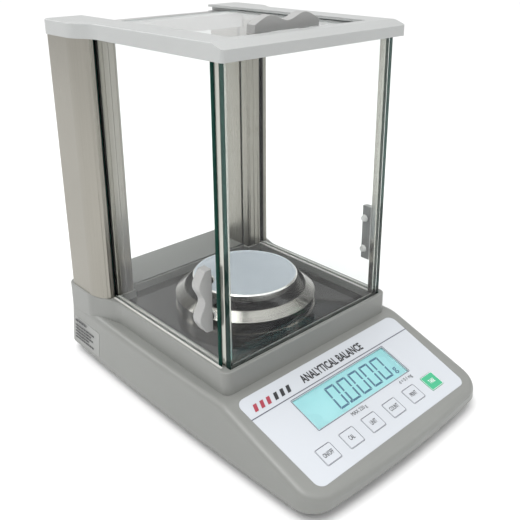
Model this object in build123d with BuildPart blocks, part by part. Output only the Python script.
from build123d import *
import math
import os

os.makedirs("parts", exist_ok=True)

# ---------------------------------------------------------------- driving sizes, mm
# Origin: on the table, under the middle of the footprint.
# X to the right, Y to the back, Z up.

# Base housing
BASE_BOTTOM = 10.0
SHOULDER = 50.5
PLINTH_TOP = 70.0
BASE_FRONT = -160.0
BASE_REAR = 158.8
REAR_FLANGE = 1.2
BASE_HALF_WIDTH = 108.0
SHOULDER_HALF_WIDTH = 104.5
SIDE_BOW_FRONT = 6.0
SIDE_BOW_REAR = 1.8
SIDE_BOW_Y = 50.0
FRONT_BOW = 5.0
FRONT_CORNER = 20.0
REAR_CORNER = 10.0
EDGE_ROUND = 6.0
WALL = 3.0

# Bottom tray and feet
TRAY_BOTTOM = 8.0
TRAY_TOP = 12.0
TRAY_INSET = 3.6
FOOT_X = 86.0
FRONT_FOOT_Y = -132.0
REAR_FOOT_Y = 132.0
FOOT_STEM_R = 3.0
RUNNING_GAP = 0.06

# Sloping control panel: its own plane, local y runs up the slope
PANEL_SLOPE = 18.0
PANEL_Y = -70.7
PANEL_Z = 48.0
SLOPE = math.radians(PANEL_SLOPE)
PANEL = Plane(
    origin=(0, PANEL_Y, PANEL_Z),
    x_dir=(1, 0, 0),
    z_dir=(0, -math.sin(SLOPE), math.cos(SLOPE)),
)
OVERLAY_TOP = 4.0
OVERLAY_BOTTOM = -82.0
OVERLAY_TOP_HALF = 92.0
OVERLAY_BOTTOM_HALF = 87.5
OVERLAY_THICK = 0.6
DISPLAY_Y = -32.5
DISPLAY_WIDTH = 107.6
DISPLAY_HEIGHT = 29.6
KEY_Y = -65.4
KEY_PITCH = 25.0
KEY_WIDTH = 15.2
KEY_HEIGHT = 14.0
KEY_GAP = 0.25
KEY_PROUD = 0.2
KEY_TRAVEL_ROOM = 0.8
BOARD_DEPTH = 9.0
KEY_NAMES = ("key_power", "key_calibrate", "key_unit", "key_count", "key_print", "key_tare")

# Plinth and chamber floor
PLINTH_HALF = 93.3
PLINTH_FRONT = -59.5
PLINTH_REAR = 157.0
PLINTH_BULGE = 103.6
FLOOR_RECESS = 8.0
DECK_THICK = 3.0
FLOOR_HALF = 82.0
FLOOR_FRONT = -50.0
FLOOR_SIDE_BACK = 96.5
FLOOR_BACK_HALF = 66.5
FLOOR_BACK = 104.5

# Draft shield
FRAME_Z = 296.0
FRAME_TOP = 308.0
FRAME_HALF = 93.0
FRAME_FRONT = -63.0
FRAME_INNER_HALF = 68.5
FRAME_INNER_FRONT = -43.0
FRONT_FACE_TOP = 304.0
COLUMN_FRONT = 97.7
COLUMN_BACK = 150.0
COLUMN_INNER = 68.0
SLOT_INNER = 84.2
SLOT_OUTER = 89.8
COLUMN_OUTER = 102.3
COLUMN_CURVE_BACK = 119.0
DOOR_X = 87.0
DOOR_THICK = 3.0
DOOR_FRONT = -45.6
DOOR_BACK = 101.0
TRACK_HALF = 4.0
TRACK_SLOT_HALF = 1.9
TRACK_DEPTH = 5.0
TRACK_FRONT = -50.6
TRACK_LENGTH = PLINTH_REAR - TRACK_FRONT
TRACK_MIDDLE = (PLINTH_REAR + TRACK_FRONT) / 2
FRONT_GLASS_Y = -56.5
FRONT_GLASS_THICK = 5.0
FRONT_GLASS_HALF = 86.6
POST_SIZE = 5.4
REAR_GLASS_Y = 106.0
TOP_GLASS_Z = 302.5
TOP_GLASS_HALF = 73.0
CROSSBAR_TOP = 301.8

# Weighing parts, on the weighing axis
PAN_Y = 25.0
PAN_R = 45.0
PAN_TOP = 92.0
PAN_RIM = 6.2
RING_INNER = 51.3
RING_OUTER = 60.5
RING_TOP = 82.0

SIDES = (("left", -1), ("right", 1))


def keep(piece, name):
    """Labels one finished piece and writes it."""
    piece.label = name
    export_step(piece, f"parts/{name}.step")


def panel_plane(depth=0.0):
    """The control panel's plane, lowered by a depth."""
    return PANEL.offset(-depth)


def block(x, y, z):
    """A box from its three (low, high) ranges."""
    with BuildPart() as box:
        with BuildSketch(Plane.XY.offset(z[0])):
            with Locations(((x[0] + x[1]) / 2, (y[0] + y[1]) / 2)):
                Rectangle(x[1] - x[0], y[1] - y[0])
        extrude(amount=z[1] - z[0])
    return box.part


def rod(x, y, z, radius):
    """An upright cylinder between two heights."""
    with BuildPart() as cylinder:
        with BuildSketch(Plane.XY.offset(z[0])):
            with Locations((x, y)):
                Circle(radius)
        extrude(amount=z[1] - z[0])
    return cylinder.part


# ---------------------------------------------------------------- base housing
def base_plan(half_width, front, rear):
    """Plan of the base: front and sides bow gently outwards."""
    with BuildSketch() as plan:
        with BuildLine():
            front_half = half_width - SIDE_BOW_FRONT
            rear_half = half_width - SIDE_BOW_REAR
            front_left = (-front_half, front + FRONT_BOW)
            front_right = (front_half, front + FRONT_BOW)
            rear_right = (rear_half, rear)
            rear_left = (-rear_half, rear)
            ThreePointArc(front_left, (0, front), front_right)
            ThreePointArc(front_right, (half_width, SIDE_BOW_Y), rear_right)
            Line(rear_right, rear_left)
            ThreePointArc(rear_left, (-half_width, SIDE_BOW_Y), front_left)
        make_face()
        fillet(plan.vertices().group_by(Axis.Y)[0], FRONT_CORNER)
        fillet(plan.vertices().group_by(Axis.Y)[-1], REAR_CORNER)
    return plan.sketch


def side_profile(wall):
    """Side view of the base under its shoulder and sloping panel."""
    top = SHOULDER - wall
    slope_drop = wall / math.cos(SLOPE)
    kink_y = PANEL_Y + (top - PANEL_Z + slope_drop) / math.tan(SLOPE)
    far_front = BASE_FRONT - 40
    far_rear = BASE_REAR + 10
    far_front_z = PANEL_Z - slope_drop + (far_front - PANEL_Y) * math.tan(SLOPE)
    with BuildSketch() as profile:
        with BuildLine():
            Polyline(
                (far_rear, -1),
                (far_rear, top),
                (kink_y, top),
                (far_front, far_front_z),
                (far_front, -1),
                close=True,
            )
        make_face()
        kink = profile.vertices().sort_by_distance((kink_y, top, 0))[0]
        fillet(kink, 30)
    return profile.sketch


def base_solid(wall):
    """The wedge of the base, shrunk by a wall thickness."""
    front = BASE_FRONT + wall
    rear = BASE_REAR - wall
    with BuildPart() as wedge:
        with BuildSketch(Plane.XY.offset(BASE_BOTTOM)):
            add(base_plan(BASE_HALF_WIDTH - wall, front, rear))
        with BuildSketch(Plane.XY.offset(SHOULDER)):
            add(base_plan(SHOULDER_HALF_WIDTH - wall, front, rear))
        loft()
        with BuildSketch(Plane.YZ):
            add(side_profile(wall))
        extrude(amount=BASE_HALF_WIDTH + 10, both=True, mode=Mode.INTERSECT)
    return wedge.part


def plinth_plan(inset=0.0):
    """Plan of the raised plinth, which swells round the rear columns."""
    side = PLINTH_HALF - inset
    bulge = PLINTH_BULGE - inset
    front = PLINTH_FRONT + inset
    rear = PLINTH_REAR - inset
    with BuildSketch() as plan:
        with BuildLine():
            Line((0, front), (side, front))
            Line((side, front), (side, 86))
            Line((side, 86), (bulge, 119))
            Line((bulge, 119), (bulge, rear))
            Line((bulge, rear), (0, rear))
            Line((0, rear), (0, front))
        make_face()
        for corner, radius in (((side, front), 6), ((side, 86), 30), ((bulge, 119), 18), ((bulge, rear), 8)):
            fillet(plan.vertices().sort_by_distance((*corner, 0))[0], radius)
        mirror(about=Plane.YZ)
    return plan.sketch


def floor_plan(inset=0.0):
    """Plan of the chamber floor: wide between the doors, narrow between the columns."""
    with BuildSketch() as plan:
        with Locations((0, (FLOOR_FRONT + FLOOR_SIDE_BACK) / 2)):
            Rectangle(2 * FLOOR_HALF, FLOOR_SIDE_BACK - FLOOR_FRONT)
        with Locations((0, (FLOOR_FRONT + FLOOR_BACK) / 2)):
            Rectangle(2 * FLOOR_BACK_HALF, FLOOR_BACK - FLOOR_FRONT)
        if inset:
            offset(amount=-inset, kind=Kind.INTERSECTION, mode=Mode.REPLACE)
    return plan.sketch


def top_rim(part):
    """The edges that bound the upward faces of a solid."""
    faces = part.faces().filter_by(lambda f: f.normal_at().Z > 0.9)
    edges = [e for f in faces for e in f.edges()]
    return ShapeList(e for e in edges if sum(e.is_same(o) for o in edges) == 1)


REAR_WALL_Y = BASE_REAR - WALL
SOCKET_Z = 29.0
INLET_X = -62.0
SWITCH_X = -28.0
SERIAL_X = 14.0
COLUMN_SCREW_X = 76.0
COLUMN_SCREW_Y = (114.0, 138.0)
BOSSES = [(x * 92, y, top) for x in (-1, 1) for y, top in ((-112, 32.5), (20, 48.5), (118, 60.0))]

with BuildPart() as base_housing:
    add(base_solid(0))
    fillet(top_rim(base_housing.part), EDGE_ROUND)
    with BuildSketch(Plane.XY.offset(SHOULDER - 10)):
        add(plinth_plan())
    extrude(amount=PLINTH_TOP - SHOULDER + 10)
    fillet(base_housing.faces().sort_by(Axis.Z)[-1].edges(), 1.2)
    # hollow inside
    add(base_solid(WALL), mode=Mode.SUBTRACT)
    with BuildSketch(Plane.XY.offset(SHOULDER - WALL - 4)):
        add(plinth_plan(WALL))
    extrude(
        amount=PLINTH_TOP - FLOOR_RECESS - DECK_THICK - (SHOULDER - WALL - 4),
        mode=Mode.SUBTRACT,
    )
    # recess for the chamber floor and grooves for the door tracks
    with BuildSketch(Plane.XY.offset(PLINTH_TOP - FLOOR_RECESS)):
        add(floor_plan())
    extrude(amount=FLOOR_RECESS + 1, mode=Mode.SUBTRACT)
    with BuildSketch(Plane.XY.offset(PLINTH_TOP - TRACK_DEPTH)):
        with Locations((-DOOR_X, TRACK_MIDDLE), (DOOR_X, TRACK_MIDDLE)):
            Rectangle(2 * TRACK_HALF, TRACK_LENGTH)
    extrude(amount=TRACK_DEPTH + 1, mode=Mode.SUBTRACT)
    # seats for the front and rear panes
    with BuildSketch(Plane.XY.offset(PLINTH_TOP - 3)):
        with Locations((0, FRONT_GLASS_Y + FRONT_GLASS_THICK / 2)):
            Rectangle(2 * FRONT_GLASS_HALF + 0.4, FRONT_GLASS_THICK + 0.2)
        with Locations((0, REAR_GLASS_Y + DOOR_THICK / 2)):
            Rectangle(142, DOOR_THICK + 0.4)
    extrude(amount=4, mode=Mode.SUBTRACT)
    # way through for the pan's stem
    with BuildSketch(Plane.XY.offset(SHOULDER)):
        with Locations((0, PAN_Y)):
            Circle(12)
    extrude(amount=20, mode=Mode.SUBTRACT)
    # control panel: recess, display opening, key pockets and stem holes
    with BuildSketch(panel_plane(OVERLAY_THICK)) as overlay_recess:
        with BuildLine():
            Polyline(
                (-OVERLAY_TOP_HALF, OVERLAY_TOP),
                (OVERLAY_TOP_HALF, OVERLAY_TOP),
                (OVERLAY_BOTTOM_HALF, OVERLAY_BOTTOM),
                (-OVERLAY_BOTTOM_HALF, OVERLAY_BOTTOM),
                close=True,
            )
        make_face()
        fillet(overlay_recess.vertices(), 7)
    extrude(amount=8, mode=Mode.SUBTRACT)
    with BuildSketch(panel_plane(WALL + 2)):
        with Locations((0, DISPLAY_Y)):
            Rectangle(DISPLAY_WIDTH + 0.4, DISPLAY_HEIGHT + 0.4)
        with Locations((0, KEY_Y)):
            with GridLocations(KEY_PITCH, 0, 6, 1):
                Rectangle(6, 6)
    extrude(amount=8, mode=Mode.SUBTRACT)
    with BuildSketch(panel_plane(2.2)):
        with Locations((0, KEY_Y)):
            with GridLocations(KEY_PITCH, 0, 6, 1):
                RectangleRounded(KEY_WIDTH + 2 * KEY_GAP, KEY_HEIGHT + 2 * KEY_GAP, 1.6)
    extrude(amount=8, mode=Mode.SUBTRACT)
    # rear wall openings
    with BuildSketch(Plane.XZ.offset(-REAR_WALL_Y + 1)):
        with Locations((INLET_X, SOCKET_Z)):
            Rectangle(27.6, 20.2)
        with Locations((SWITCH_X, SOCKET_Z)):
            Rectangle(13.6, 19.6)
        with Locations((SERIAL_X, SOCKET_Z)):
            Rectangle(31, 12.6)
    extrude(amount=-8, mode=Mode.SUBTRACT)
    # clearance holes for the column screws
    for x in (-COLUMN_SCREW_X, COLUMN_SCREW_X):
        for y in COLUMN_SCREW_Y:
            add(rod(x, y, (SHOULDER, PLINTH_TOP + 1), 2.2), mode=Mode.SUBTRACT)
    # screw bosses down to the tray
    for x, y, top in BOSSES:
        add(rod(x, y, (TRAY_TOP + 0.2, top), 4.0))
        add(rod(x, y, (TRAY_TOP, TRAY_TOP + 12), 1.6), mode=Mode.SUBTRACT)
keep(base_housing.part, "base_housing")

# ---------------------------------------------------------------- bottom tray, feet
with BuildPart() as bottom_tray:
    with BuildSketch(Plane.XY.offset(TRAY_BOTTOM)):
        add(
            base_plan(
                BASE_HALF_WIDTH - TRAY_INSET,
                BASE_FRONT + TRAY_INSET,
                BASE_REAR - TRAY_INSET,
            )
        )
    extrude(amount=TRAY_TOP - TRAY_BOTTOM)
    fillet(bottom_tray.faces().sort_by(Axis.Z)[0].edges(), 1.2)
    for x in (-FOOT_X, FOOT_X):
        add(rod(x, REAR_FOOT_Y, (TRAY_TOP, 26), 8.0))
        add(rod(x, REAR_FOOT_Y, (TRAY_BOTTOM, 26), FOOT_STEM_R + RUNNING_GAP), mode=Mode.SUBTRACT)
    for x, y, top in BOSSES:
        add(rod(x, y, (TRAY_BOTTOM, TRAY_TOP), 1.8), mode=Mode.SUBTRACT)
        add(rod(x, y, (TRAY_BOTTOM, TRAY_BOTTOM + 2), 3.4), mode=Mode.SUBTRACT)
    with BuildSketch(Plane.XY.offset(TRAY_BOTTOM)):
        with Locations((0, -78)):
            with GridLocations(12, 0, 7, 1):
                SlotOverall(34, 3.5, rotation=90)
    extrude(amount=TRAY_TOP - TRAY_BOTTOM, mode=Mode.SUBTRACT)
keep(bottom_tray.part, "bottom_tray")

with BuildPart() as tray_screws:
    for x, y, top in BOSSES:
        add(rod(x, y, (TRAY_BOTTOM + 0.4, TRAY_BOTTOM + 2), 3.2))
        add(rod(x, y, (TRAY_BOTTOM + 2, TRAY_TOP + 9), 1.5))
keep(tray_screws.part, "tray_screws")

with BuildPart() as front_feet:
    for x in (-FOOT_X, FOOT_X):
        with BuildSketch():
            with Locations((x, FRONT_FOOT_Y)):
                Circle(10)
        extrude(amount=TRAY_BOTTOM, taper=6)
    fillet(front_feet.faces().sort_by(Axis.Z)[:2].edges(), 1.0)
keep(front_feet.part, "front_feet")

for side, sign in SIDES:
    with BuildPart() as levelling_foot:
        with BuildSketch():
            with Locations((sign * FOOT_X, REAR_FOOT_Y)):
                Circle(11)
        extrude(amount=2.4)
        chamfer(levelling_foot.faces().sort_by(Axis.Z)[0].edges(), 0.8)
        with BuildSketch(Plane.XY.offset(2.4)):
            with Locations((sign * FOOT_X, REAR_FOOT_Y)):
                Circle(14)
                with PolarLocations(14.3, 36):
                    Circle(0.9, mode=Mode.SUBTRACT)
        extrude(amount=4.6)
        add(rod(sign * FOOT_X, REAR_FOOT_Y, (7.0, 24), FOOT_STEM_R))
    keep(levelling_foot.part, f"levelling_foot_{side}")

# ---------------------------------------------------------------- control panel
with BuildPart() as panel_overlay:
    with BuildSketch(panel_plane(OVERLAY_THICK)) as overlay_plan:
        with BuildLine():
            Polyline(
                (-OVERLAY_TOP_HALF + 0.1, OVERLAY_TOP - 0.1),
                (OVERLAY_TOP_HALF - 0.1, OVERLAY_TOP - 0.1),
                (OVERLAY_BOTTOM_HALF - 0.1, OVERLAY_BOTTOM + 0.1),
                (-OVERLAY_BOTTOM_HALF + 0.1, OVERLAY_BOTTOM + 0.1),
                close=True,
            )
        make_face()
        fillet(overlay_plan.vertices(), 7)
        with Locations((0, DISPLAY_Y)):
            Rectangle(DISPLAY_WIDTH, DISPLAY_HEIGHT, mode=Mode.SUBTRACT)
        with Locations((0, KEY_Y)):
            with GridLocations(KEY_PITCH, 0, 6, 1):
                RectangleRounded(
                    KEY_WIDTH + 2 * KEY_GAP, KEY_HEIGHT + 2 * KEY_GAP, 1.6, mode=Mode.SUBTRACT
                )
    extrude(amount=OVERLAY_THICK - 0.1)
keep(panel_overlay.part, "panel_overlay")

with BuildPart() as display_window:
    with BuildSketch(panel_plane(WALL + 0.4)):
        with Locations((0, DISPLAY_Y)):
            Rectangle(DISPLAY_WIDTH, DISPLAY_HEIGHT)
    extrude(amount=WALL - OVERLAY_THICK - 0.2)
keep(display_window.part, "display_window")

with BuildPart() as lcd_glass:
    with BuildSketch(panel_plane(WALL + 2.6)):
        with Locations((0, DISPLAY_Y)):
            Rectangle(DISPLAY_WIDTH + 8, DISPLAY_HEIGHT + 7)
    extrude(amount=2.2)
keep(lcd_glass.part, "lcd_glass")

with BuildPart() as lcd_backlight:
    with BuildSketch(panel_plane(BOARD_DEPTH)):
        with Locations((0, DISPLAY_Y)):
            RectangleRounded(DISPLAY_WIDTH + 10, DISPLAY_HEIGHT + 9, 2)
    extrude(amount=BOARD_DEPTH - WALL - 2.6)
keep(lcd_backlight.part, "lcd_backlight")

with BuildPart() as panel_board:
    with BuildSketch(panel_plane(BOARD_DEPTH + 1.6)):
        with Locations((0, -43.5)):
            RectangleRounded(156, 62, 3)
            with GridLocations(146, 52, 2, 2):
                Circle(1.7, mode=Mode.SUBTRACT)
    extrude(amount=1.6)
keep(panel_board.part, "panel_board")

with BuildPart() as dome_switches:
    with BuildSketch(panel_plane(BOARD_DEPTH)):
        with Locations((0, KEY_Y)):
            with GridLocations(KEY_PITCH, 0, 6, 1):
                Circle(3.2)
    extrude(amount=1.0, taper=20)
keep(dome_switches.part, "dome_switches")

for index, name in enumerate(KEY_NAMES):
    key_x = (index - 2.5) * KEY_PITCH
    with BuildPart() as key:
        with BuildSketch(panel_plane(2.2 - KEY_TRAVEL_ROOM)):
            with Locations((key_x, KEY_Y)):
                RectangleRounded(KEY_WIDTH, KEY_HEIGHT, 1.4)
        extrude(amount=2.2 - KEY_TRAVEL_ROOM + KEY_PROUD)
        fillet(key.faces().sort_by(Axis.Z)[-1].edges(), 0.25)
        with BuildSketch(panel_plane(7.2)):
            with Locations((key_x, KEY_Y)):
                Rectangle(5, 5)
        extrude(amount=7.2 - 2.2 + KEY_TRAVEL_ROOM)
    keep(key.part, name)

# ---------------------------------------------------------------- chamber floor, tracks
with BuildPart() as chamber_floor:
    with BuildSketch(Plane.XY.offset(PLINTH_TOP - FLOOR_RECESS)):
        add(floor_plan(0.3))
        with Locations((0, PAN_Y)):
            Circle(11, mode=Mode.SUBTRACT)
    extrude(amount=1.0)
    with BuildSketch(Plane.XY.offset(PLINTH_TOP - FLOOR_RECESS + 1)):
        with Locations((0, PAN_Y)):
            Circle(14)
            Circle(11, mode=Mode.SUBTRACT)
    extrude(amount=3.5)
keep(chamber_floor.part, "chamber_floor")

for side, sign in SIDES:
    with BuildPart() as door_track:
        with BuildSketch(Plane.XY.offset(PLINTH_TOP - TRACK_DEPTH)):
            with Locations((sign * DOOR_X, TRACK_MIDDLE)):
                Rectangle(2 * TRACK_HALF - 0.2, TRACK_LENGTH - 0.4)
        extrude(amount=TRACK_DEPTH)
        with BuildSketch(Plane.XY.offset(PLINTH_TOP - TRACK_DEPTH + 1.2)):
            with Locations((sign * DOOR_X, TRACK_MIDDLE)):
                Rectangle(2 * TRACK_SLOT_HALF, TRACK_LENGTH)
        extrude(amount=TRACK_DEPTH, mode=Mode.SUBTRACT)
    keep(door_track.part, f"door_track_{side}")

# ---------------------------------------------------------------- draft shield
for side, sign in SIDES:
    inner_face = Plane.XY if sign > 0 else Plane.XY.rotated((0, 180, 0))

    with BuildPart() as column:
        with BuildSketch(Plane.XY.offset(PLINTH_TOP)):
            with Locations((sign * (COLUMN_INNER + SLOT_INNER) / 2, (COLUMN_FRONT + COLUMN_BACK) / 2)):
                RectangleRounded(SLOT_INNER - COLUMN_INNER, COLUMN_BACK - COLUMN_FRONT, 1.5)
                Rectangle(SLOT_INNER - COLUMN_INNER - 4, COLUMN_BACK - COLUMN_FRONT - 4, mode=Mode.SUBTRACT)
            for y in COLUMN_SCREW_Y:
                with Locations((sign * COLUMN_SCREW_X, y)):
                    Rectangle(SLOT_INNER - COLUMN_INNER - 2, 8)
                    Circle(2.0, mode=Mode.SUBTRACT)
            # groove that holds the rear pane, and fine lines down the front face
            with Locations((sign * COLUMN_INNER, REAR_GLASS_Y + DOOR_THICK / 2)):
                Rectangle(2 * 2.4, DOOR_THICK + 0.4, mode=Mode.SUBTRACT)
            with Locations(*[(sign * x, COLUMN_FRONT) for x in (70.4, 75.6, 80.8)]):
                Circle(0.45, mode=Mode.SUBTRACT)
        extrude(amount=FRAME_Z - PLINTH_TOP)
    keep(column.part, f"column_{side}")

    with BuildPart() as column_cover:
        with BuildSketch(Plane.XY.offset(PLINTH_TOP)) as cover_plan:
            with BuildLine():
                tip = (sign * 93.5, COLUMN_FRONT)
                flank = (sign * COLUMN_OUTER, COLUMN_CURVE_BACK)
                Line((sign * SLOT_OUTER, COLUMN_FRONT), tip)
                ThreePointArc(tip, (sign * 100.0, 106.6), flank)
                Line(flank, (sign * COLUMN_OUTER, COLUMN_BACK))
                Line((sign * COLUMN_OUTER, COLUMN_BACK), (sign * SLOT_OUTER, COLUMN_BACK))
                Line((sign * SLOT_OUTER, COLUMN_BACK), (sign * SLOT_OUTER, COLUMN_FRONT))
            make_face()
            far_corner = cover_plan.vertices().sort_by_distance(
                (sign * COLUMN_OUTER, COLUMN_BACK, PLINTH_TOP)
            )[0]
            fillet(far_corner, 3)
            offset(amount=-1.8, mode=Mode.SUBTRACT)
            with Locations((sign * 91.4, COLUMN_FRONT), (sign * 95.4, 99.2)):
                Circle(0.45, mode=Mode.SUBTRACT)
        extrude(amount=FRAME_Z - PLINTH_TOP)
    keep(column_cover.part, f"column_cover_{side}")

with BuildPart() as slot_seals:
    for x in (SLOT_INNER + 0.5, SLOT_OUTER - 0.5):
        for sign in (-1, 1):
            add(
                block(
                    (sign * x - 0.5, sign * x + 0.5),
                    (COLUMN_FRONT + 0.6, COLUMN_FRONT + 7),
                    (PLINTH_TOP + 0.2, FRAME_Z - 0.2),
                )
            )
keep(slot_seals.part, "slot_seals")

DECK_UNDERSIDE = PLINTH_TOP - FLOOR_RECESS - DECK_THICK
with BuildPart() as tie_rods:
    for x in (-COLUMN_SCREW_X, COLUMN_SCREW_X):
        for y in COLUMN_SCREW_Y:
            add(rod(x, y, (DECK_UNDERSIDE - 3, DECK_UNDERSIDE), 3.6))
            add(rod(x, y, (DECK_UNDERSIDE, FRAME_Z + 6), 1.9))
keep(tie_rods.part, "tie_rods")

rear_glass = block(
    (-COLUMN_INNER - 2.2, COLUMN_INNER + 2.2),
    (REAR_GLASS_Y, REAR_GLASS_Y + DOOR_THICK),
    (PLINTH_TOP - 2.8, FRAME_Z - 0.2),
)
keep(rear_glass, "rear_glass")

with BuildPart() as rear_crossbar:
    with BuildSketch(Plane.YZ.offset(-COLUMN_INNER + 0.3)):
        with BuildLine():
            Polyline(
                (101, 289),
                (101, CROSSBAR_TOP),
                (COLUMN_BACK, CROSSBAR_TOP),
                (COLUMN_BACK, 289),
                (COLUMN_BACK - 2, 289),
                (COLUMN_BACK - 2, CROSSBAR_TOP - 2.6),
                (103.4, CROSSBAR_TOP - 2.6),
                (103.4, 289),
                close=True,
            )
        make_face()
    extrude(amount=2 * (COLUMN_INNER - 0.3))
    fillet(
        rear_crossbar.edges().filter_by(Axis.X).group_by(Axis.Z)[-1],
        0.8,
    )
keep(rear_crossbar.part, "rear_crossbar")

# Top frame: a U of two side rails and a front rail, open to the back
with BuildPart() as top_frame:
    with BuildSketch(Plane.XY.offset(FRAME_Z)) as frame_plan:
        with BuildLine():
            side = FRAME_HALF
            bulge = PLINTH_BULGE
            Line((0, FRAME_FRONT), (side, FRAME_FRONT))
            Line((side, FRAME_FRONT), (side, 84))
            Spline((side, 84), (95.8, 95.5), (101.2, 104.5), (bulge, 119), tangents=((0, 1), (0, 1)))
            Line((bulge, 119), (bulge, COLUMN_BACK + 2))
            Line((bulge, COLUMN_BACK + 2), (FRAME_INNER_HALF, COLUMN_BACK + 2))
            Line((FRAME_INNER_HALF, COLUMN_BACK + 2), (FRAME_INNER_HALF, FRAME_INNER_FRONT))
            Line((FRAME_INNER_HALF, FRAME_INNER_FRONT), (0, FRAME_INNER_FRONT))
            Line((0, FRAME_INNER_FRONT), (0, FRAME_FRONT))
        make_face()
        for corner, radius in (((side, FRAME_FRONT), 2.5), ((bulge, COLUMN_BACK + 2), 6)):
            fillet(frame_plan.vertices().sort_by_distance((*corner, FRAME_Z))[0], radius)
        mirror(about=Plane.YZ)
    extrude(amount=FRAME_TOP - FRAME_Z)
    # sloping top of the front rail
    with BuildSketch(Plane.YZ):
        with BuildLine():
            Polyline(
                (FRAME_FRONT - 1, FRONT_FACE_TOP),
                (FRAME_FRONT, FRONT_FACE_TOP),
                (FRAME_FRONT + 11, FRAME_TOP),
                (FRAME_FRONT + 11, FRAME_TOP + 2),
                (FRAME_FRONT - 1, FRAME_TOP + 2),
                close=True,
            )
        make_face()
    extrude(amount=FRAME_HALF + 2, both=True, mode=Mode.SUBTRACT)
    rail_tops = top_frame.faces().sort_by(Axis.Z)[-1].edges()
    fillet(rail_tops.filter_by(lambda e: abs(e.center().X) > FRAME_INNER_HALF + 5), 1.4)
    # running grooves: side doors below, top door inside, front pane below
    with BuildSketch(Plane.XY.offset(FRAME_Z)):
        for sign in (-1, 1):
            with Locations((sign * DOOR_X, 60)):
                Rectangle(4, 2 * (60 - DOOR_FRONT + 2))
        with Locations((0, FRONT_GLASS_Y + FRONT_GLASS_THICK / 2)):
            Rectangle(2 * FRONT_GLASS_HALF + 0.4, FRONT_GLASS_THICK + 0.3)
    extrude(amount=4.0, mode=Mode.SUBTRACT)
    with BuildSketch(Plane.XY.offset(TOP_GLASS_Z - 0.4)):
        with Locations((0, 60)):
            Rectangle(2 * TOP_GLASS_HALF + 1, 2 * (60 - FRAME_INNER_FRONT + 2.6))
    extrude(amount=DOOR_THICK + 0.8, mode=Mode.SUBTRACT)
    for x in (-COLUMN_SCREW_X, COLUMN_SCREW_X):
        for y in COLUMN_SCREW_Y:
            add(rod(x, y, (FRAME_Z, FRAME_Z + 6.2), 2.1), mode=Mode.SUBTRACT)
keep(top_frame.part, "top_frame")

front_glass = block(
    (-FRONT_GLASS_HALF, FRONT_GLASS_HALF),
    (FRONT_GLASS_Y, FRONT_GLASS_Y + FRONT_GLASS_THICK),
    (PLINTH_TOP - 2.8, FRAME_Z + 3.6),
)
with BuildPart() as front_pane:
    add(front_glass)
    chamfer(front_pane.edges().filter_by(Axis.Z), 0.5)
keep(front_pane.part, "front_glass")

for side, sign in SIDES:
    with BuildPart() as corner_post:
        with BuildSketch(Plane.XY.offset(PLINTH_TOP)):
            with Locations(
                (
                    sign * (FRONT_GLASS_HALF - POST_SIZE / 2),
                    FRONT_GLASS_Y + FRONT_GLASS_THICK + 0.1 + POST_SIZE / 2,
                )
            ):
                RectangleRounded(POST_SIZE, POST_SIZE, 0.8)
        extrude(amount=FRAME_Z - PLINTH_TOP)
    keep(corner_post.part, f"corner_post_{side}")

# ---------------------------------------------------------------- sliding doors
HANDLE_THICK = 8.6
HANDLE_Y = -36.0
SIDE_HANDLE_Z = 122.0
SIDE_HANDLE_LENGTH = 50.0
TOP_HANDLE_Y = -22.5
TOP_HANDLE_LENGTH = 66.0
SCREW_SHARE = 0.29


def door_handle(plane, length):
    """A wavy finger grip: two crests and a dip between them, flat on the glass."""
    with BuildPart() as handle:
        with BuildSketch(plane):
            with BuildLine():
                half = length / 2
                Line((-half, 0.1), (half, 0.1))
                Line((half, 0.1), (half - 0.4, 5.8))
                Spline(
                    (half - 0.4, 5.8),
                    (half * 0.82, 8.6),
                    (half * 0.52, 11.6),
                    (0, 6.8),
                    (-half * 0.52, 11.6),
                    (-half * 0.82, 8.6),
                    (-half + 0.4, 5.8),
                )
                Line((-half + 0.4, 5.8), (-half, 0.1))
            make_face()
        extrude(amount=HANDLE_THICK / 2, both=True)
        along = Plane(plane.origin, x_dir=plane.x_dir, z_dir=plane.y_dir)
        with BuildSketch(along):
            with GridLocations(2 * SCREW_SHARE * length, 0, 2, 1):
                Circle(1.7)
        extrude(amount=5.5, mode=Mode.SUBTRACT)
        fillet(handle.edges().filter_by(lambda e: e.length > 12 or e.geom_type != GeomType.LINE), 0.3)
    return handle.part


def handle_screws(plane, length):
    """Two dome-headed screws through the glass into a handle."""
    inside = Plane(plane.origin, x_dir=plane.x_dir, z_dir=plane.y_dir).offset(-DOOR_THICK)
    with BuildPart() as screws:
        with BuildSketch(inside):
            with GridLocations(2 * SCREW_SHARE * length, 0, 2, 1):
                Circle(3.4)
        extrude(amount=-2.2, taper=24)
        with BuildSketch(inside):
            with GridLocations(2 * SCREW_SHARE * length, 0, 2, 1):
                Circle(1.6)
        extrude(amount=DOOR_THICK + 5)
    return screws.part


def door_pane(x, y, z, plane, length):
    """A glass door with two screw holes under its handle."""
    through = Plane(plane.origin, x_dir=plane.x_dir, z_dir=plane.y_dir)
    with BuildPart() as pane:
        add(block(x, y, z))
        with BuildSketch(through):
            with GridLocations(2 * SCREW_SHARE * length, 0, 2, 1):
                Circle(1.9)
        extrude(amount=DOOR_THICK + 1, both=True, mode=Mode.SUBTRACT)
    return pane.part


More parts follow.
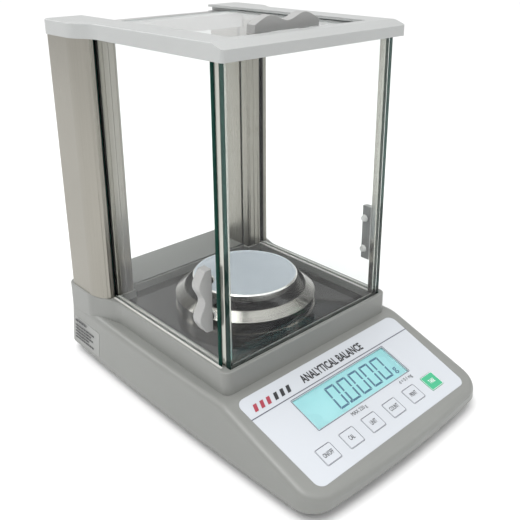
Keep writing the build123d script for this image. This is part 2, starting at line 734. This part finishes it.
for side, sign in SIDES:
    grip = Plane(
        origin=(sign * (DOOR_X + DOOR_THICK / 2), HANDLE_Y, SIDE_HANDLE_Z),
        x_dir=(0, 0, 1),
        z_dir=(0, sign, 0),
    )
    pane = door_pane(
        tuple(sorted((sign * (DOOR_X - DOOR_THICK / 2), sign * (DOOR_X + DOOR_THICK / 2)))),
        (DOOR_FRONT, DOOR_BACK),
        (PLINTH_TOP - TRACK_DEPTH + 1.4, FRAME_Z + 3.4),
        grip,
        SIDE_HANDLE_LENGTH,
    )
    keep(pane, f"door_glass_{side}")
    keep(door_handle(grip, SIDE_HANDLE_LENGTH), f"door_handle_{side}")
    keep(handle_screws(grip, SIDE_HANDLE_LENGTH), f"handle_screws_{side}")

grip = Plane(
    origin=(0, TOP_HANDLE_Y, TOP_GLASS_Z + DOOR_THICK),
    x_dir=(1, 0, 0),
    z_dir=(0, -1, 0),
)
pane = door_pane(
    (-TOP_GLASS_HALF, TOP_GLASS_HALF),
    (FRAME_INNER_FRONT - 2, DOOR_BACK + 8),
    (TOP_GLASS_Z, TOP_GLASS_Z + DOOR_THICK),
    grip,
    TOP_HANDLE_LENGTH,
)
keep(pane, "door_glass_top")
keep(door_handle(grip, TOP_HANDLE_LENGTH), "door_handle_top")
keep(handle_screws(grip, TOP_HANDLE_LENGTH), "handle_screws_top")

# ---------------------------------------------------------------- draft ring and pan
def turned(profile):
    """A body of revolution about the weighing axis from (radius, height) points."""
    with BuildPart() as body:
        with BuildSketch(Plane.XZ):
            with BuildLine():
                Polyline(*profile, close=True)
            make_face()
        revolve(axis=Axis.Z)
    return body.part.moved(Location((0, PAN_Y, 0)))


FLOOR_TOP = PLINTH_TOP - FLOOR_RECESS + 1
with BuildPart() as draft_ring:
    add(
        turned(
            (
                (60.8, FLOOR_TOP),
                (60.8, FLOOR_TOP + 1.4),
                (59.5, FLOOR_TOP + 1.4),
                (59.5, 74.8),
                (RING_OUTER, 75.5),
                (52.2, RING_TOP - 0.2),
                (RING_INNER, RING_TOP),
                (RING_INNER, RING_TOP - 4),
                (52.5, RING_TOP - 4),
                (52.5, 79.5),
                (58.1, 75.4),
                (58.1, FLOOR_TOP),
            )
        )
    )
    fillet(draft_ring.edges().group_by(Axis.Z)[-1], 0.3)
keep(draft_ring.part, "draft_ring")

PAN_UNDERSIDE = PAN_TOP - 2
with BuildPart() as weighing_pan:
    add(
        turned(
            (
                (0, PAN_TOP - 0.8),
                (PAN_R - 4, PAN_TOP - 0.8),
                (PAN_R - 2.6, PAN_TOP),
                (PAN_R - 1, PAN_TOP),
                (PAN_R, PAN_TOP - 1),
                (PAN_R, PAN_TOP - PAN_RIM),
                (PAN_R - 1.2, PAN_TOP - PAN_RIM),
                (PAN_R - 1.2, PAN_UNDERSIDE),
                (0, PAN_UNDERSIDE),
            )
        )
    )
    rim_edges = weighing_pan.edges().filter_by(GeomType.CIRCLE).filter_by(lambda e: e.center().Z > PAN_TOP - 1.1)
    fillet(rim_edges.filter_by(lambda e: e.radius > PAN_R - 3), 0.35)
    add(rod(0, PAN_Y, (PAN_UNDERSIDE - 4.4, PAN_UNDERSIDE), 3.0))
keep(weighing_pan.part, "weighing_pan")

SUPPORT_TOP = PAN_UNDERSIDE - 0.1
STEM_R = 5.0
STEM_TOP = 82.8
with BuildPart() as pan_support:
    with BuildSketch(Plane.XY.offset(SUPPORT_TOP - 2.4)):
        with Locations((0, PAN_Y)):
            Circle(34)
            Circle(29, mode=Mode.SUBTRACT)
            Rectangle(64, 8)
            Rectangle(8, 64)
    extrude(amount=2.4)
    add(rod(0, PAN_Y, (73, SUPPORT_TOP), 8.0))
    add(rod(0, PAN_Y, (73, STEM_TOP + 0.2), STEM_R + RUNNING_GAP), mode=Mode.SUBTRACT)
    add(rod(0, PAN_Y, (SUPPORT_TOP - 5, SUPPORT_TOP), 3.0 + RUNNING_GAP), mode=Mode.SUBTRACT)
    chamfer(pan_support.edges().group_by(Axis.Z)[0], 0.6)
keep(pan_support.part, "pan_support")

# ---------------------------------------------------------------- weighing cell
CELL_FLOOR = TRAY_TOP + 5
GUIDE_LOW = 20.0
GUIDE_HIGH = 50.0
GUIDE_HALF = 24.0
FULCRUM_Y = 42.0
FULCRUM_Z = 36.0
FULCRUM_R = 2.0
COIL_Y = 76.0
CUP_R = 16.0

with BuildPart() as pan_hanger:
    add(block((-8, 8), (PAN_Y - 5, PAN_Y + 5), (20, 56)))
    fillet(pan_hanger.edges().filter_by(Axis.Z), 1.5)
    with BuildSketch(Plane.YZ):
        with Locations((PAN_Y, 30), (PAN_Y, 44)):
            Circle(2.6)
    extrude(amount=10, both=True, mode=Mode.SUBTRACT)
    add(rod(0, PAN_Y, (56, STEM_TOP), STEM_R))
    chamfer(pan_hanger.edges().group_by(Axis.Z)[-1], 0.8)
keep(pan_hanger.part, "pan_hanger")

with BuildPart() as cell_frame:
    add(block((-28, 28), (8, 104), (TRAY_TOP, CELL_FLOOR)))
    add(block((-28, 28), (95, 104), (CELL_FLOOR, GUIDE_HIGH)))
    for sign in (-1, 1):
        cheek = sorted((sign * 12.5, sign * 16.5))
        add(block(cheek, (FULCRUM_Y - 6, FULCRUM_Y + 6), (CELL_FLOOR, FULCRUM_Z + 7)))
    fillet(cell_frame.edges().filter_by(Axis.X).filter_by(lambda e: e.center().Z > FULCRUM_Z + 5), 2.0)
    with BuildSketch(Plane.YZ):
        with Locations((FULCRUM_Y, FULCRUM_Z)):
            Circle(FULCRUM_R + RUNNING_GAP)
    extrude(amount=20, both=True, mode=Mode.SUBTRACT)
    add(
        block((-GUIDE_HALF - 0.1, GUIDE_HALF + 0.1), (94, 100), (GUIDE_LOW, GUIDE_LOW + 1)),
        mode=Mode.SUBTRACT,
    )
keep(cell_frame.part, "cell_frame")

with BuildPart() as parallel_guides:
    for z, end in ((GUIDE_LOW, 99.9), (GUIDE_HIGH, 103)):
        with BuildSketch(Plane.XY.offset(z)):
            with Locations((0, (PAN_Y + 6 + end) / 2)):
                Rectangle(2 * GUIDE_HALF, end - PAN_Y - 6)
            with Locations((0, 64.5)):
                Rectangle(36, 58, mode=Mode.SUBTRACT)
        extrude(amount=1)
keep(parallel_guides.part, "parallel_guides")

with BuildPart() as lever_beam:
    add(block((-4, 4), (PAN_Y + 7, COIL_Y + 9), (FULCRUM_Z - 2, FULCRUM_Z + 2)))
    fillet(lever_beam.edges().filter_by(Axis.Z), 2.0)
    with BuildSketch(Plane.YZ):
        with Locations((FULCRUM_Y, FULCRUM_Z)):
            Circle(5)
    extrude(amount=11, both=True)
    with BuildSketch(Plane.YZ):
        with Locations((FULCRUM_Y, FULCRUM_Z)):
            Circle(FULCRUM_R)
    extrude(amount=16, both=True)
keep(lever_beam.part, "lever_beam")

with BuildPart() as force_coil:
    add(rod(0, COIL_Y, (24, FULCRUM_Z - 2), 10.5))
    add(rod(0, COIL_Y, (24, FULCRUM_Z - 3.2), 8.5), mode=Mode.SUBTRACT)
    for z in (26, 28, 30):
        add(rod(0, COIL_Y, (z, z + 0.8), 12), mode=Mode.SUBTRACT)
        add(rod(0, COIL_Y, (z, z + 0.8), 10.1))
        add(rod(0, COIL_Y, (z, z + 0.8), 8.5), mode=Mode.SUBTRACT)
keep(force_coil.part, "force_coil")

with BuildPart() as magnet_cup:
    add(rod(0, COIL_Y, (CELL_FLOOR, 31), CUP_R))
    add(rod(0, COIL_Y, (CELL_FLOOR + 3, 31), 12.6), mode=Mode.SUBTRACT)
    chamfer(magnet_cup.edges().group_by(Axis.Z)[-1], 0.6)
keep(magnet_cup.part, "magnet_cup")
keep(rod(0, COIL_Y, (CELL_FLOOR + 3, 29), 6.8), "ring_magnet")

# ---------------------------------------------------------------- electronics
with BuildPart() as main_board:
    add(block((-75, 75), (-52, 4), (18, 19.6)))
    for x in (-70, 70):
        for y in (-47, -1):
            add(rod(x, y, (TRAY_TOP, 18), 3.0))
            add(rod(x, y, (19.6, 21.2), 2.6))
    for x, y, size, height in (
        (-22, -24, 14, 1.6),
        (12, -28, 10, 1.4),
        (40, -14, 8, 1.4),
        (-52, -30, 9, 2.4),
    ):
        add(block((x - size / 2, x + size / 2), (y - size / 2, y + size / 2), (19.6, 19.6 + height)))
    for x in (-60, -50, 58):
        add(rod(x, -10, (19.6, 29), 4.0))
    add(block((-16, 16), (-48, -43), (19.6, 25)))
    add(block((30, 52), (-3, 2), (19.6, 26)))
keep(main_board.part, "main_board")

with BuildPart() as transformer:
    add(block((-72, -38), (66, 94), (TRAY_TOP, 40)))
    fillet(transformer.edges().filter_by(Axis.Z), 1.5)
    with BuildSketch(Plane.XY.offset(16)):
        with Locations((-55, 80)):
            RectangleRounded(22, 42, 4)
    extrude(amount=20)
    for x in (-76, -34):
        add(block((x - 4.2, x + 4.2), (75, 85), (TRAY_TOP, TRAY_TOP + 1.6)))
        add(rod(x, 80, (TRAY_TOP, TRAY_TOP + 3.6), 2.6))
keep(transformer.part, "transformer")

# ---------------------------------------------------------------- rear sockets
def rear_block(x, z, width, height, y_from, y_to, rounding=0.0):
    """A box facing the back, given its centre, its size and its two depths."""
    with BuildPart() as box:
        with BuildSketch(Plane.XZ.offset(-y_from)):
            with Locations((x, z)):
                if rounding:
                    RectangleRounded(width, height, rounding)
                else:
                    Rectangle(width, height)
        extrude(amount=-(y_to - y_from))
    return box.part


REAR_FACE = BASE_REAR + REAR_FLANGE
with BuildPart() as power_inlet:
    add(rear_block(INLET_X, SOCKET_Z, 31.6, 24.4, BASE_REAR, REAR_FACE, 3))
    chamfer(power_inlet.faces().sort_by(Axis.Y)[-1].edges(), 0.4)
    add(rear_block(INLET_X, SOCKET_Z, 27.2, 19.8, BASE_REAR - 20, BASE_REAR, 2))
    with BuildSketch(Plane.XZ.offset(-(BASE_REAR - 15))) as socket_mouth:
        with Locations((INLET_X, SOCKET_Z)):
            Rectangle(24.2, 16.4)
        chamfer(socket_mouth.vertices().group_by(Axis.Y)[-1], 5.0)
    extrude(amount=-20, mode=Mode.SUBTRACT)
    for x, z in ((-7, 1.4), (0, -2.6), (7, 1.4)):
        add(rear_block(INLET_X + x, SOCKET_Z - z, 2.06, 4.06, BASE_REAR - 24, BASE_REAR), mode=Mode.SUBTRACT)
keep(power_inlet.part, "power_inlet")

with BuildPart() as inlet_pins:
    for x, z in ((-7, 1.4), (0, -2.6), (7, 1.4)):
        add(rear_block(INLET_X + x, SOCKET_Z - z, 2, 4, BASE_REAR - 26, BASE_REAR - 4.2))
    chamfer(inlet_pins.edges().group_by(Axis.Y)[-1], 0.4)
keep(inlet_pins.part, "inlet_pins")

with BuildPart() as switch_housing:
    add(rear_block(SWITCH_X, SOCKET_Z, 16.4, 22.4, BASE_REAR, REAR_FACE, 1.6))
    chamfer(switch_housing.faces().sort_by(Axis.Y)[-1].edges(), 0.4)
    add(rear_block(SWITCH_X, SOCKET_Z, 13.2, 19.2, BASE_REAR - 14, BASE_REAR))
    add(rear_block(SWITCH_X, SOCKET_Z, 10.2, 16.6, BASE_REAR - 12, REAR_FACE + 1), mode=Mode.SUBTRACT)
keep(switch_housing.part, "switch_housing")

ROCKER_Y = 153.5
ROCKER_TILT = math.radians(8)
rocker_plane = Plane(
    origin=(SWITCH_X, ROCKER_Y, SOCKET_Z),
    x_dir=(0, math.cos(ROCKER_TILT), -math.sin(ROCKER_TILT)),
    z_dir=(1, 0, 0),
)
with BuildPart() as power_switch:
    with BuildSketch(rocker_plane):
        with BuildLine():
            Polyline(
                (4.2, 0),
                (5.2, 7.2),
                (1.5, 7.3),
                (-3.5, 2.5),
                (-3.5, -2.5),
                (1.5, -7.3),
                (5.2, -7.2),
                close=True,
            )
        make_face()
    extrude(amount=4.8, both=True)
    fillet(power_switch.edges().filter_by(Axis.X).group_by(Axis.Y)[-1], 0.4)
keep(power_switch.part, "power_switch")

WALL_INSIDE = BASE_REAR - WALL
with BuildPart() as serial_socket:
    add(rear_block(SERIAL_X, SOCKET_Z, 38, 18, WALL_INSIDE - 1.2, WALL_INSIDE, 2))
    with BuildSketch(Plane.XZ.offset(-WALL_INSIDE)) as shell:
        with BuildLine():
            Polyline(
                (SERIAL_X - 8.8, SOCKET_Z + 4.4),
                (SERIAL_X + 8.8, SOCKET_Z + 4.4),
                (SERIAL_X + 7.3, SOCKET_Z - 4.4),
                (SERIAL_X - 7.3, SOCKET_Z - 4.4),
                close=True,
            )
        make_face()
        fillet(shell.vertices(), 1.6)
        offset(amount=-0.8, mode=Mode.SUBTRACT)
    extrude(amount=-3.8)
    add(rear_block(SERIAL_X, SOCKET_Z, 13.4, 7.6, WALL_INSIDE, WALL_INSIDE + 2.4))
    with BuildSketch(Plane.XZ.offset(-WALL_INSIDE)):
        for x in (-4, -2, 0, 2, 4):
            with Locations((SERIAL_X + 1.3 * x, SOCKET_Z + 1.4)):
                Circle(0.55)
        for x in (-3, -1, 1, 3):
            with Locations((SERIAL_X + 1.3 * x, SOCKET_Z - 1.4)):
                Circle(0.55)
    extrude(amount=-4, mode=Mode.SUBTRACT)
    with BuildSketch(Plane.XZ.offset(-WALL_INSIDE)):
        with Locations((SERIAL_X - 12.5, SOCKET_Z), (SERIAL_X + 12.5, SOCKET_Z)):
            RegularPolygon(2.6, 6)
            Circle(1.3, mode=Mode.SUBTRACT)
    extrude(amount=-3.6)
keep(serial_socket.part, "serial_socket")

# ---------------------------------------------------------------- label
with BuildPart() as rating_label:
    add(base_solid(-0.15))
    add(base_solid(0), mode=Mode.SUBTRACT)
    add(block((-118, -96), (103, 148), (13.5, 37)), mode=Mode.INTERSECT)
keep(rating_label.part, "rating_label")
